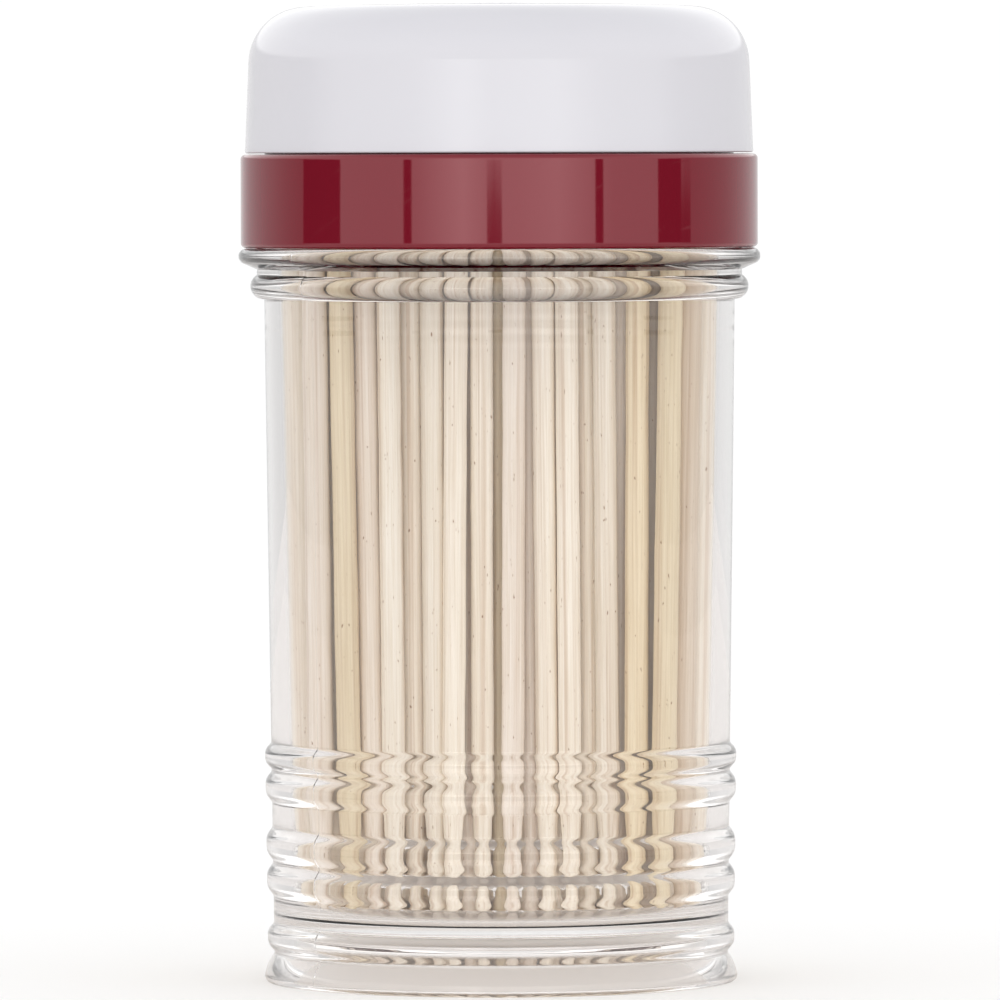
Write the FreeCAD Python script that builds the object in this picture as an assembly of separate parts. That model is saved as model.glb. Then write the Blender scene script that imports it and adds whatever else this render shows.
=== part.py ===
import FreeCAD, Part
import math
import os

# Twist-top toothpick dispenser, in millimetres, +Z up, origin at the centre of the base, front at -Y.
#
# A clear ribbed jar holds round wooden toothpicks that stand on its raised floor. A collar snaps over
# the jar's neck, and its turret rises inside a domed cap. The cap snaps over the turret and turns on it
# by a quarter turn. It is modelled open, with its outlet over the outlet in the turret's deck, so that a
# toothpick slides out. The collar pulls off, with the cap on it, to refill the jar.
#
# Heights build up from the base and radii build outwards from the jar's cavity, so a piece follows the
# size of what it holds or stands on.

# Toothpick
pick_length = 65.0
pick_diameter = 2.05
pick_taper_length = 12.0
pick_tip_radius = 0.3

# Bundle of toothpicks: rows from wall to wall, the front one set back from the jar's wall
pick_side_gap = 0.064
pick_floor_gap = 0.05
pick_wall_gap = 0.1
front_row_offset = 6.5
single_pick_rows = 2

# Jar: cavity, wall and base
cavity_floor_radius = 16.95
cavity_draft_degrees = 1.16
wall_at_foot = 1.7
wall_draft_degrees = 0.72
base_recess_height = 4.4
floor_thickness = 1.0
cavity_corner_radius = 0.9
recess_corner_radius = 0.6
foot_ring_width = 1.75
foot_ring_draft = 0.2

# Jar: rounded rim round the base
base_rim_height = 2.3
base_rim_stand = 0.81
base_rim_edge_radius = 0.55
base_rim_slope_stand = 0.6
base_rim_slope_height = 1.3

# Jar: ribs, in groups that start at a height and touch each other
rib_group_bottoms = (2.45, 6.95, 14.6)
rib_group_heights = ((2.45,), (2.87, 2.98), (2.75, 2.3))
rib_stand = 0.52
rib_fillet_radius = 0.45

# Jar: shoulder beads
lower_bead_radius = 1.07
lower_bead_stand = 1.12
lower_bead_below_ledge = 3.15
bead_groove_depth = 0.53
bead_groove_height = 0.45
upper_bead_radius = 0.68
upper_bead_overhang = 0.2
upper_bead_slant_degrees = 21.0

# Jar: neck with its snap bead
neck_wall = 1.3
neck_snap_stand = 0.25
neck_snap_width = 1.3
neck_snap_below_rim = 3.7
neck_rim_radius = 0.4

# Collar: band, snap ring, top plate, and turret with its deck
band_height = 7.65
band_edge_radius = 0.38
band_overhang = 0.35
skirt_clearance = 0.24
snap_ring_clearance = 0.1
snap_ring_width = 1.1
snap_ring_play = 0.12
plate_thickness = 1.3
neck_rim_gap = 0.1
turret_wall = 1.15
turret_bore_inset = 0.14
headroom = 6.85
cap_groove_depth = 0.45
cap_groove_width = 1.2

# Domed cap
cap_height = 12.2
cap_wall = 1.35
cap_draft_degrees = 2.35
cap_corner_radius = 4.65
cap_crown_radius = 500.0
cap_foot_gap = 0.1
cap_foot_edge_radius = 0.15
cap_running_gap = 0.25
cap_bead_bite = 0.2
cap_bead_width = 0.9
cap_bead_above_foot = 1.3

# Outlets, and the peg and groove that stop the cap at each end of its turn
outlet_diameter = 6.5
outlet_edge_radius = 0.4
outlet_rim_land = 1.2
outlet_angle_degrees = -90.0
twist_degrees = 90.0
stop_peg_diameter = 2.0
stop_peg_foot_gap = 0.15
stop_groove_depth = 0.6
stop_groove_side_gap = 0.2
stop_groove_end_gap = 0.08
stop_groove_land = 1.5

# How far a cutting tool runs past the surface that it opens
cut_overrun = 1.0

# Sizes that follow from the ones above
cavity_slope = math.tan(math.radians(cavity_draft_degrees))
wall_slope = math.tan(math.radians(wall_draft_degrees))
cap_draft = math.radians(cap_draft_degrees)
floor_top = base_recess_height + floor_thickness
pick_spacing = pick_diameter + pick_side_gap
wall_orbit = cavity_floor_radius - pick_diameter / 2 - pick_wall_gap
cavity_foot_radius = cavity_floor_radius - floor_top * cavity_slope
deck_underside = floor_top + pick_length + headroom
turret_inset = cap_wall + cap_running_gap
bore_inset = turret_inset + turret_wall
cap_top = deck_underside + bore_inset
cap_foot = cap_top - cap_height
band_top = cap_foot - cap_foot_gap
ledge_height = band_top - band_height
rim_height = band_top - plate_thickness - neck_rim_gap


def cavity_radius(height):
    """Radius of the jar's drafted cavity at a height above the base."""
    return cavity_foot_radius + height * cavity_slope


def wall_radius(height):
    """Outer radius of the jar's drafted wall, without ribs, at a height above the base."""
    return cavity_foot_radius + wall_at_foot + height * wall_slope


neck_radius = cavity_radius(ledge_height) + neck_wall
neck_snap_radius = neck_radius + neck_snap_stand
skirt_bore = neck_snap_radius + skirt_clearance
cap_foot_radius = cavity_radius(rim_height) - turret_bore_inset + bore_inset
band_radius = cap_foot_radius + band_overhang
ledge_radius = band_radius + upper_bead_overhang


def cap_side_radius(inset, height):
    """Radius of the cap's drafted side at a height, moved inwards by an inset."""
    return cap_foot_radius - (height - cap_foot) * math.tan(cap_draft) - inset / math.cos(cap_draft)


def cap_corner_centre():
    """Centre (radius, height) of the corner arc that meets the cap's side and its crown smoothly.

    It lies one corner radius inside the drafted side, and one inside the crown's sphere.
    """
    slope = math.tan(cap_draft)
    crown_centre = cap_top - cap_crown_radius
    reach = cap_crown_radius - cap_corner_radius
    side = cap_side_radius(cap_corner_radius, crown_centre)
    rise = (side * slope + math.sqrt(reach**2 * (1 + slope**2) - side**2)) / (1 + slope**2)
    return side - rise * slope, crown_centre + rise


cap_corner_orbit, cap_corner_height = cap_corner_centre()
crown_degrees = math.degrees(math.acos(cap_corner_orbit / (cap_crown_radius - cap_corner_radius)))
outlet_orbit = cap_corner_orbit - outlet_rim_land - outlet_edge_radius - outlet_diameter / 2
stop_groove_width = stop_peg_diameter + 2 * stop_groove_side_gap
stop_orbit = outlet_orbit - outlet_diameter / 2 - stop_groove_land - stop_groove_width / 2
closed_angle_degrees = outlet_angle_degrees - twist_degrees


# Directions in an outline, in degrees
OUTWARDS = 0
UP = 90
INWARDS = 180
DOWN = -90


class Outline:
    """Half of a round piece's section, drawn as lines and arcs through (radius, height) points."""

    def __init__(self, radius, height):
        self.first = FreeCAD.Vector(radius, 0, height)
        self.last = self.first
        self.edges = []

    def line(self, radius, height):
        """A straight line to a point."""
        end = FreeCAD.Vector(radius, 0, height)
        self.edges.append(Part.LineSegment(self.last, end).toShape())
        self.last = end

    def arc(self, middle, end):
        """An arc from the last point through a middle point to an end point."""
        stop = FreeCAD.Vector(end[0], 0, end[1])
        self.edges.append(Part.Arc(self.last, FreeCAD.Vector(middle[0], 0, middle[1]), stop).toShape())
        self.last = stop

    def turn(self, centre, radius, start_degrees, end_degrees):
        """A line to an arc about a centre, then that arc from one direction to another."""
        middle_degrees = (start_degrees + end_degrees) / 2
        angles = [math.radians(a) for a in (start_degrees, middle_degrees, end_degrees)]
        points = [(centre[0] + radius * math.cos(a), centre[1] + radius * math.sin(a)) for a in angles]
        self.line(*points[0])
        self.arc(points[1], points[2])

    def revolve(self):
        """Closes the outline and turns it into a round solid about Z."""
        self.line(self.first.x, self.first.z)
        face = Part.Face(Part.Wire(self.edges))
        return face.revolve(FreeCAD.Vector(0, 0, 0), FreeCAD.Vector(0, 0, 1), 360)


def around(orbit, degrees, height):
    """The point at a height on a circle about the dispenser's axis."""
    angle = math.radians(degrees)
    return FreeCAD.Vector(orbit * math.cos(angle), orbit * math.sin(angle), height)


def draw_base(outline):
    """The recess under the floor, the foot ring and the rounded rim outside it."""
    foot_inner = wall_radius(0) + base_rim_stand - base_rim_edge_radius - foot_ring_width
    recess_radius = foot_inner - foot_ring_draft
    recess_corner = (recess_radius - recess_corner_radius, base_recess_height - recess_corner_radius)
    outline.turn(recess_corner, recess_corner_radius, UP, OUTWARDS)
    outline.line(foot_inner, 0)
    edge_centre = (wall_radius(0) + base_rim_stand - base_rim_edge_radius, base_rim_edge_radius)
    outline.turn(edge_centre, base_rim_edge_radius, DOWN, OUTWARDS)
    slope_point = (wall_radius(0) + base_rim_slope_stand, base_rim_slope_height)
    outline.arc(slope_point, (wall_radius(base_rim_height), base_rim_height))


def draw_ribs(outline):
    """The groups of rounded ribs on the lower wall."""
    for bottom, heights in zip(rib_group_bottoms, rib_group_heights):
        outline.line(wall_radius(bottom), bottom)
        for height in heights:
            draw_rib(outline, bottom, bottom + height)
            bottom += height


def draw_rib(outline, bottom, top):
    """One rounded rib, which meets the wall above and below in a small hollow fillet."""

    def point(stand, height):
        return wall_radius(height) + stand, height

    half_height = (top - bottom) / 2
    reach = (rib_stand**2 + half_height**2) / (2 * rib_stand)
    lean = math.asin(half_height / reach)
    start_stand, flank_stand = [rib_fillet_radius * (1 - math.cos(a)) for a in (lean / 2, lean)]
    start_rise, flank_rise = [rib_fillet_radius * math.sin(a) for a in (lean / 2, lean)]
    outline.arc(point(start_stand, bottom + start_rise), point(flank_stand, bottom + flank_rise))
    outline.arc(point(rib_stand, bottom + half_height), point(flank_stand, top - flank_rise))
    outline.arc(point(start_stand, top - start_rise), point(0, top))


def draw_shoulder(outline):
    """The lower bead, the groove, and the upper bead whose flat top is the collar's seat."""
    bead_height = ledge_height - lower_bead_below_ledge
    crest = wall_radius(bead_height) + lower_bead_stand
    centre = crest - lower_bead_radius
    start = math.degrees(math.acos((wall_radius(bead_height) - centre) / lower_bead_radius))
    end = math.degrees(math.acos(1 - bead_groove_depth / lower_bead_radius))
    outline.turn((centre, bead_height), lower_bead_radius, -start, end)
    groove_top = bead_height + lower_bead_radius * math.sin(math.radians(end)) + bead_groove_height
    outline.line(crest - bead_groove_depth, groove_top)
    nose = (ledge_radius - upper_bead_radius, ledge_height - upper_bead_radius)
    outline.turn(nose, upper_bead_radius, DOWN + upper_bead_slant_degrees, UP)
    outline.line(neck_radius, ledge_height)


def draw_neck(outline):
    """The neck's snap bead and its rounded rim."""
    bead = rim_height - neck_snap_below_rim
    outline.line(neck_radius, bead - neck_snap_width / 2)
    outline.arc((neck_snap_radius, bead), (neck_radius, bead + neck_snap_width / 2))
    rim_centre = rim_height - neck_rim_radius
    outline.turn((neck_radius - neck_rim_radius, rim_centre), neck_rim_radius, OUTWARDS, UP)
    bore = cavity_radius(rim_height)
    outline.turn((bore + neck_rim_radius, rim_centre), neck_rim_radius, UP, INWARDS)


def make_jar():
    """The clear jar in one moulding: foot ring, raised floor, ribbed wall, shoulder beads and neck."""
    outline = Outline(0, base_recess_height)
    draw_base(outline)
    draw_ribs(outline)
    draw_shoulder(outline)
    draw_neck(outline)
    corner = (cavity_radius(floor_top) - cavity_corner_radius, floor_top + cavity_corner_radius)
    outline.turn(corner, cavity_corner_radius, OUTWARDS, DOWN)
    outline.line(0, floor_top)
    return outline.revolve()


def draw_dome_in(outline, inset):
    """From the axis, the crown and the rounded corner that cap and turret share, moved in by an inset."""
    crown = math.radians((UP + crown_degrees) / 2)
    radius = cap_crown_radius - inset
    centre = cap_top - cap_crown_radius
    edge = math.radians(crown_degrees)
    outline.arc(
        (radius * math.cos(crown), centre + radius * math.sin(crown)),
        (radius * math.cos(edge), centre + radius * math.sin(edge)),
    )
    middle = math.radians((crown_degrees + cap_draft_degrees) / 2)
    side = math.radians(cap_draft_degrees)
    corner = cap_corner_radius - inset
    outline.arc(
        (cap_corner_orbit + corner * math.cos(middle), cap_corner_height + corner * math.sin(middle)),
        (cap_corner_orbit + corner * math.cos(side), cap_corner_height + corner * math.sin(side)),
    )


def draw_dome_out(outline, inset):
    """The same corner and crown drawn the other way, from the side up to the axis."""
    outline.turn(
        (cap_corner_orbit, cap_corner_height), cap_corner_radius - inset, cap_draft_degrees, crown_degrees
    )
    crown = math.radians((UP + crown_degrees) / 2)
    radius = cap_crown_radius - inset
    centre = cap_top - cap_crown_radius
    outline.arc((radius * math.cos(crown), centre + radius * math.sin(crown)), (0, cap_top - inset))


def draw_cap_groove(outline):
    """The groove round the turret in which the cap's bead turns."""
    middle = cap_foot + cap_bead_above_foot
    low = middle - cap_groove_width / 2
    high = middle + cap_groove_width / 2
    outline.line(cap_side_radius(turret_inset, high), high)
    bottom = (cap_side_radius(turret_inset, middle) - cap_groove_depth, middle)
    outline.arc(bottom, (cap_side_radius(turret_inset, low), low))


def draw_band(outline):
    """The band outside, and inside it the skirt's bore with the ring that snaps under the neck's bead."""
    edge = band_edge_radius
    outline.turn((band_radius - edge, band_top - edge), edge, UP, OUTWARDS)
    outline.turn((band_radius - edge, ledge_height + edge), edge, OUTWARDS, DOWN)
    outline.line(skirt_bore, ledge_height)
    ring_top = rim_height - neck_snap_below_rim - neck_snap_width / 2 - snap_ring_play
    outline.line(skirt_bore, ring_top - snap_ring_width)
    outline.arc(
        (neck_snap_radius + snap_ring_clearance, ring_top - snap_ring_width / 2), (skirt_bore, ring_top)
    )
    outline.line(skirt_bore, band_top - plate_thickness)


def make_collar():
    """The collar: band, top plate, and the turret whose deck has the outlet and the stop groove."""
    outline = Outline(0, cap_top - turret_inset)
    draw_dome_in(outline, turret_inset)
    draw_cap_groove(outline)
    outline.line(cap_side_radius(turret_inset, band_top), band_top)
    draw_band(outline)
    plate_underside = band_top - plate_thickness
    outline.line(cap_side_radius(bore_inset, plate_underside), plate_underside)
    draw_dome_out(outline, bore_inset)
    collar = outline.revolve()
    outlet = Part.makeCylinder(
        outlet_diameter / 2,
        turret_wall + 2 * cut_overrun,
        around(outlet_orbit, outlet_angle_degrees, deck_underside - cut_overrun),
    )
    return collar.cut(outlet).cut(make_stop_groove())


def make_stop_groove():
    """The curved groove in the deck's top that the cap's peg runs in, with a round stop at each end.

    It runs from where the cap is open to where it is closed.
    """
    low = cap_top - turret_inset - stop_groove_depth
    height = stop_groove_depth + cut_overrun
    inward = math.degrees((stop_groove_side_gap - stop_groove_end_gap) / stop_orbit)
    start = closed_angle_degrees + inward
    end = outlet_angle_degrees - inward
    inner = stop_orbit - stop_groove_width / 2
    outer = stop_orbit + stop_groove_width / 2
    axis = FreeCAD.Vector(0, 0, 1)
    centre = FreeCAD.Vector(0, 0, low)
    groove = Part.makeCylinder(outer, height, centre, axis, end - start)
    groove.rotate(centre, axis, start)
    groove = groove.cut(Part.makeCylinder(inner, height, centre))
    for degrees in (start, end):
        stop = Part.makeCylinder(stop_groove_width / 2, height, around(stop_orbit, degrees, low))
        groove = groove.fuse(stop)
    return groove


def make_cap():
    """The domed cap: crowned top with the outlet, drafted side, bead inside the foot, and stop peg."""
    edge = cap_foot_edge_radius
    bead = cap_foot + cap_bead_above_foot
    bead_low = bead - cap_bead_width / 2
    bead_high = bead + cap_bead_width / 2
    outline = Outline(0, cap_top)
    draw_dome_in(outline, 0)
    edge_centre = (cap_side_radius(edge, cap_foot + edge), cap_foot + edge)
    outline.turn(edge_centre, edge, cap_draft_degrees, DOWN)
    outline.line(cap_side_radius(cap_wall, cap_foot), cap_foot)
    outline.line(cap_side_radius(cap_wall, bead_low), bead_low)
    bead_crest = (cap_side_radius(turret_inset, bead) - cap_bead_bite, bead)
    outline.arc(bead_crest, (cap_side_radius(cap_wall, bead_high), bead_high))
    draw_dome_out(outline, cap_wall)
    return cut_cap_outlet(outline.revolve().fuse(make_stop_peg()))


def make_stop_peg():
    """The short peg under the cap's top that runs in the deck's stop groove."""
    length = cap_running_gap + stop_groove_depth - stop_peg_foot_gap
    root = cap_wall / 2
    foot = around(stop_orbit, outlet_angle_degrees, cap_top - cap_wall - length)
    return Part.makeCylinder(stop_peg_diameter / 2, length + root, foot)


def cut_cap_outlet(cap):
    """Cuts the outlet through the cap's top and rounds its upper edge."""
    low = around(outlet_orbit, outlet_angle_degrees, cap_top - cap_wall - cut_overrun)
    cap = cap.cut(Part.makeCylinder(outlet_diameter / 2, cap_wall + 2 * cut_overrun, low))
    rim = []
    for edge in cap.Edges:
        middle = edge.BoundBox.Center
        on_outlet = math.hypot(middle.x - low.x, middle.y - low.y) < outlet_diameter / 2
        if on_outlet and edge.BoundBox.ZMin > cap_top - cap_wall / 2:
            rim.append(edge)
    return cap.makeFillet(outlet_edge_radius, rim)


def make_pick():
    """One round toothpick, tapered to a small blunt tip at each end, standing on the origin."""
    radius = pick_diameter / 2
    outline = Outline(0, 0)
    outline.line(pick_tip_radius, 0)
    outline.line(radius, pick_taper_length)
    outline.line(radius, pick_length - pick_taper_length)
    outline.line(pick_tip_radius, pick_length)
    outline.line(0, pick_length)
    return outline.revolve()


def make_pick_row(depth):
    """A row of toothpicks from wall to wall at a depth behind the axis.

    Each leans outwards, and the ones at the wall lean as far as the cavity's draft.
    """
    origin, sideways, up = FreeCAD.Vector(0, 0, 0), FreeCAD.Vector(0, 1, 0), FreeCAD.Vector(0, 0, 1)
    half_width = math.sqrt(wall_orbit**2 - depth**2)
    gap_count = int(2 * half_width / pick_spacing)
    row = []
    for number in range(gap_count + 1):
        across = half_width * (2 * number / gap_count - 1) if gap_count else 0
        orbit = math.hypot(across, depth)
        pick = make_pick()
        pick.rotate(origin, sideways, cavity_draft_degrees * orbit / wall_orbit)
        pick.translate(FreeCAD.Vector(orbit, 0, floor_top + pick_floor_gap))
        pick.rotate(origin, up, math.degrees(math.atan2(depth, across)))
        row.append(pick)
    return row


def make_pick_rows():
    """Rows of toothpicks, from the front of the bundle to the wall behind it."""
    rows = []
    depth = -front_row_offset
    while depth < wall_orbit:
        rows.append(make_pick_row(depth))
        depth += pick_spacing
    return rows


def main():
    """Writes each piece to its own file: the toothpicks in front one by one, the rest by the row."""
    os.makedirs("parts", exist_ok=True)
    pieces = {"jar": make_jar(), "neck_collar": make_collar(), "twist_cap": make_cap()}
    rows = make_pick_rows()
    for number, pick in enumerate(sum(rows[:single_pick_rows], []), start=1):
        pieces[f"toothpick_{number:02d}"] = pick
    for number, row in enumerate(rows[single_pick_rows:], start=single_pick_rows + 1):
        pieces[f"toothpicks_row_{number:02d}"] = Part.makeCompound(row)
    for name, shape in pieces.items():
        shape.exportStep(f"parts/{name}.step")


main()
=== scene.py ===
"""Dressed model of a twist-top toothpick dispenser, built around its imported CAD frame.

A clear ribbed jar of birch toothpicks carries a glossy red collar and a domed white cap. Sizes are in
metres, +Z is up, and the front of the dispenser faces -Y.
"""

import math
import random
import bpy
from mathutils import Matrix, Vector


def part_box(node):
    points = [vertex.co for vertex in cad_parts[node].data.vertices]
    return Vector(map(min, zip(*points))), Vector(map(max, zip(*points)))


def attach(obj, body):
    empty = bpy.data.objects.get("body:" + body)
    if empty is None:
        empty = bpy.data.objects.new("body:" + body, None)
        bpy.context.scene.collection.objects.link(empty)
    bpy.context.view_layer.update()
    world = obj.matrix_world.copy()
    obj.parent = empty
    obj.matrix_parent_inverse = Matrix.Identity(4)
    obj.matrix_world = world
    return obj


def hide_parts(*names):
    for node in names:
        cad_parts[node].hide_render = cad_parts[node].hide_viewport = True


bl_info = {
    "name": "Toothpick Dispenser",
    "version": (1, 0, 0),
    "blender": (4, 5, 0),
    "location": "3D Viewport > Sidebar > Dispenser",
    "description": "Builds the jar, collar, cap and toothpicks of a twist-top dispenser, and a plain studio",
    "category": "Object",
}

import bmesh
import bpy
from mathutils import Matrix, Vector

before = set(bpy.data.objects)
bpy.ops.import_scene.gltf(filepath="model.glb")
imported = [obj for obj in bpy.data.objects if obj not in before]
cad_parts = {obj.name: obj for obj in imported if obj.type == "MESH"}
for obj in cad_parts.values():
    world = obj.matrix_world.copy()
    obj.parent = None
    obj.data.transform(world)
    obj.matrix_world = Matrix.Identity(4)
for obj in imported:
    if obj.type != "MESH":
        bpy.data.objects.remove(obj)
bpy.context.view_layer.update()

MM = 0.001
FRONT = -math.pi / 2
CAP_BEAD_RISE = 1.3 * MM  # middle of the cap's bead and of the turret's groove, above the cap's foot
SNAP_DROP = 3.7 * MM  # middle of the neck's snap bead, below the jar's top
SNAP_HALF = 0.65 * MM  # half the height of that bead
TINY = 1e-7  # metres: less than this is nothing
ROUND_STEPS = 288  # sides of the cap and of the collar
OUTLET_STEPS = 72  # sides of their outlets
PEG_STEPS = 48  # sides of the stop peg
FRONT_PICKS = sorted(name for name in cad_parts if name.startswith("toothpick_"))
PICK_ROWS = sorted(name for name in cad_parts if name.startswith("toothpicks_row_"))


# --- Sizes and colours that a user would change --------------------------------------------------------


def length(name, description, millimetres):
    """A length that the sidebar shows in the scene's own unit."""
    default = millimetres * MM
    return bpy.props.FloatProperty(
        name=name, description=description, default=default, precision=5, unit="LENGTH", subtype="DISTANCE"
    )


def angle(name, description, degrees):
    """An angle that the sidebar shows in degrees."""
    return bpy.props.FloatProperty(
        name=name, description=description, default=math.radians(degrees), unit="ROTATION", subtype="ANGLE"
    )


def share(name, description, value, highest=1.0):
    """A plain factor."""
    return bpy.props.FloatProperty(
        name=name, description=description, default=value, min=0.0, max=highest, precision=3, subtype="FACTOR"
    )


def colour(name, description, rgb):
    """A linear colour."""
    return bpy.props.FloatVectorProperty(
        name=name, description=description, default=rgb, size=3, min=0.0, max=1.0, subtype="COLOR"
    )


class JarSizes(bpy.types.PropertyGroup):
    """Sizes of the clear jar. Its height and its ledge come from the frame."""

    cavity_foot: length("Cavity radius", "Radius of the cavity, at the height of the table", 16.8407)
    cavity_draft: angle("Cavity draft", "Lean of the cavity's wall", 1.16)
    wall: length("Wall", "Thickness of the wall at its foot", 1.7)
    wall_draft: angle("Wall draft", "Lean of the outer wall", 0.72)
    recess: length("Recess height", "Height of the recess under the floor", 4.4)
    floor: length("Floor", "Thickness of the floor", 1.0)
    floor_corner: length("Floor corner", "Radius between the cavity's floor and its wall", 1.7)
    rim_stand: length("Base rim stand", "How far the rim round the base stands out from the wall", 0.81)
    rim_edge: length("Base rim edge", "Radius of the rim's lower edge", 0.55)
    rim_height: length("Base rim height", "Height of the rim round the base", 2.3)
    foot_ring: length("Foot ring", "Width of the ring that the jar stands on", 1.75)
    rib_stand: length("Rib stand", "How far a rib stands out from the wall", 0.52)
    rib_flatness: share("Rib flatness", "How flat a rib's crest is: 1 is a wave, more is flatter", 1.7, 4.0)
    lower_bead: length("Lower bead", "Radius of the bead below the collar", 1.07)
    upper_bead: length("Upper bead", "Radius of the bead that carries the collar", 0.68)
    neck_wall: length("Neck wall", "Thickness of the neck inside the collar", 1.3)
    seam_ridge: length("Seam ridge", "How far the mould seam stands out", 0.012)
    seam_step: length("Seam step", "How far the two mould halves are out of line", 0.05)
    ripple: length("Ripple", "Depth of the ripples below the lower bead", 0.006)


class CollarSizes(bpy.types.PropertyGroup):
    """Sizes of the collar. Its band and its height come from the frame."""

    band: length("Band height", "Height of the band outside", 7.65)
    band_edge: length("Band edge", "Radius of the band's two edges", 0.38)
    skirt_bore: length("Skirt bore", "Radius of the bore that slides over the neck", 19.847)
    plate: length("Top plate", "Thickness of the plate between the band and the turret", 1.3)
    turret_wall: length("Turret wall", "Thickness of the turret", 1.15)
    snap_reach: length("Ring reach", "How far the ring in the bore reaches inwards", 0.14)
    groove_depth: length("Cap groove", "Depth of the groove that the cap's bead turns in", 0.45)
    seat_gap: length("Seat gap", "Thin air gap that stays between the band and the jar's upper bead", 0.03)
    stop_groove_depth: length("Stop groove", "Depth of the groove that the cap's peg runs in", 0.6)


class CapSizes(bpy.types.PropertyGroup):
    """Sizes of the domed cap. Its foot and its top come from the frame."""

    wall: length("Wall", "Thickness of the cap", 1.35)
    draft: angle("Draft", "Lean of the cap's side", 2.35)
    corner: length("Corner", "Radius of the rounded corner between side and crown", 4.65)
    crown: length("Crown", "Radius of the slightly domed top", 500.0)
    foot_edge: length("Foot edge", "Radius of the cap's lower edge", 0.15)
    gap: length("Running gap", "Gap between the cap and the turret inside it", 0.25)
    bead: length("Bead", "How far the bead inside the foot reaches into the turret's groove", 0.2)
    outlet: length("Outlet", "Diameter of the outlet that a toothpick slides out of", 6.5)
    outlet_edge: length("Outlet edge", "Radius of the outlet's upper edge", 0.4)
    outlet_land: length("Outlet land", "Flat width between the outlet's edge and the corner", 1.2)
    peg: length("Stop peg", "Diameter of the peg that stops the cap's turn", 2.0)


class PickSizes(bpy.types.PropertyGroup):
    """Sizes of the round toothpicks, where they stand, and how much they differ from each other."""

    length: length("Length", "Length of a toothpick", 65.0)
    taper: length("Taper", "Length of the taper at each end", 9.8)
    tip: length("Tip", "Radius of the blunt tip", 0.3)
    front: length("Front row", "How far the front row stands before the jar's axis", 6.5)
    spacing: length("Spacing", "Least distance between two toothpicks, middle to middle", 2.114)
    wall_orbit: length("Wall orbit", "Distance from the axis of a toothpick that touches the wall", 15.825)
    thickness: length("Thickness", "Thickness of a toothpick in the two front rows", 1.85)
    loosest: share("Loosest", "Thinnest toothpick behind, as a share of its place in the row", 0.87)
    tightest: share("Tightest", "Thickest toothpick behind, as a share of its place in the row", 0.95)
    bow: length("Bow", "How far a toothpick bends away from straight in its middle", 0.05)
    rough: length("Roughness", "How uneven a toothpick's side is", 0.02)
    stand: length("Stand", "Least height of a toothpick's foot over the floor, on its rounded corner", 0.2)
    lift: length("Lift", "How much higher than its neighbours a toothpick may stand", 0.3)
    seed: bpy.props.IntProperty(name="Seed", description="Which variety of tones and bends", default=11)


class Finishes(bpy.types.PropertyGroup):
    """Colours of the plastics and of the wood."""

    cap: colour("Cap", "Cool white of the cap", (0.645, 0.64, 0.68))
    collar: colour("Collar", "Deep red of the collar", (0.164, 0.0052, 0.0155))
    clear: colour("Clear plastic", "Faint tint of the jar", (0.955, 0.94, 0.93))
    cream: colour("Cream wood", "Tone of most toothpicks", (0.95, 0.895, 0.80))
    straw: colour("Straw wood", "Tone of the yellower toothpicks", (0.85, 0.745, 0.55))
    rose: colour("Rose wood", "Tone of the pinker toothpicks", (0.92, 0.85, 0.775))
    tan: colour("Tan wood", "Tone of the greyer toothpicks", (0.74, 0.63, 0.51))
    gloss: share("Gloss roughness", "Roughness of the glossy plastics", 0.045)


class StudioSettings(bpy.types.PropertyGroup):
    """Camera, floor and light."""

    distance: length("Camera distance", "From the camera to the dispenser's axis", 916.0)
    height: length("Camera height", "Height of the camera above the floor", 67.0)
    aim: length("Aim height", "Height on the dispenser's axis that the camera looks at", 39.4)
    view_width: length("View width", "Width of the picture at the dispenser's axis", 81.8)
    roll: angle("Camera roll", "Lean of the camera to one side", -0.15)
    floor_reach: length("Floor reach", "From the middle of the floor to its edge", 500.0)
    backdrop: share("Backdrop", "Brightness behind the dispenser, as the camera sees it", 1.02, 5.0)
    ceiling: share("Ceiling", "Brightness of the light from the sides and above", 1.42, 5.0)
    zenith: share("Zenith", "Brightness of the light from straight above", 0.76, 5.0)
    low: share("Low light", "Most brightness of the light from below the panels", 0.95, 5.0)
    gap: share("Gaps", "Brightness of the gaps between the panels", 0.04, 5.0)
    panel_top: angle("Panel top", "How high the panels reach, seen from the dispenser", 8.0)


# --- Outlines and turned meshes ------------------------------------------------------------------------


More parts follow.
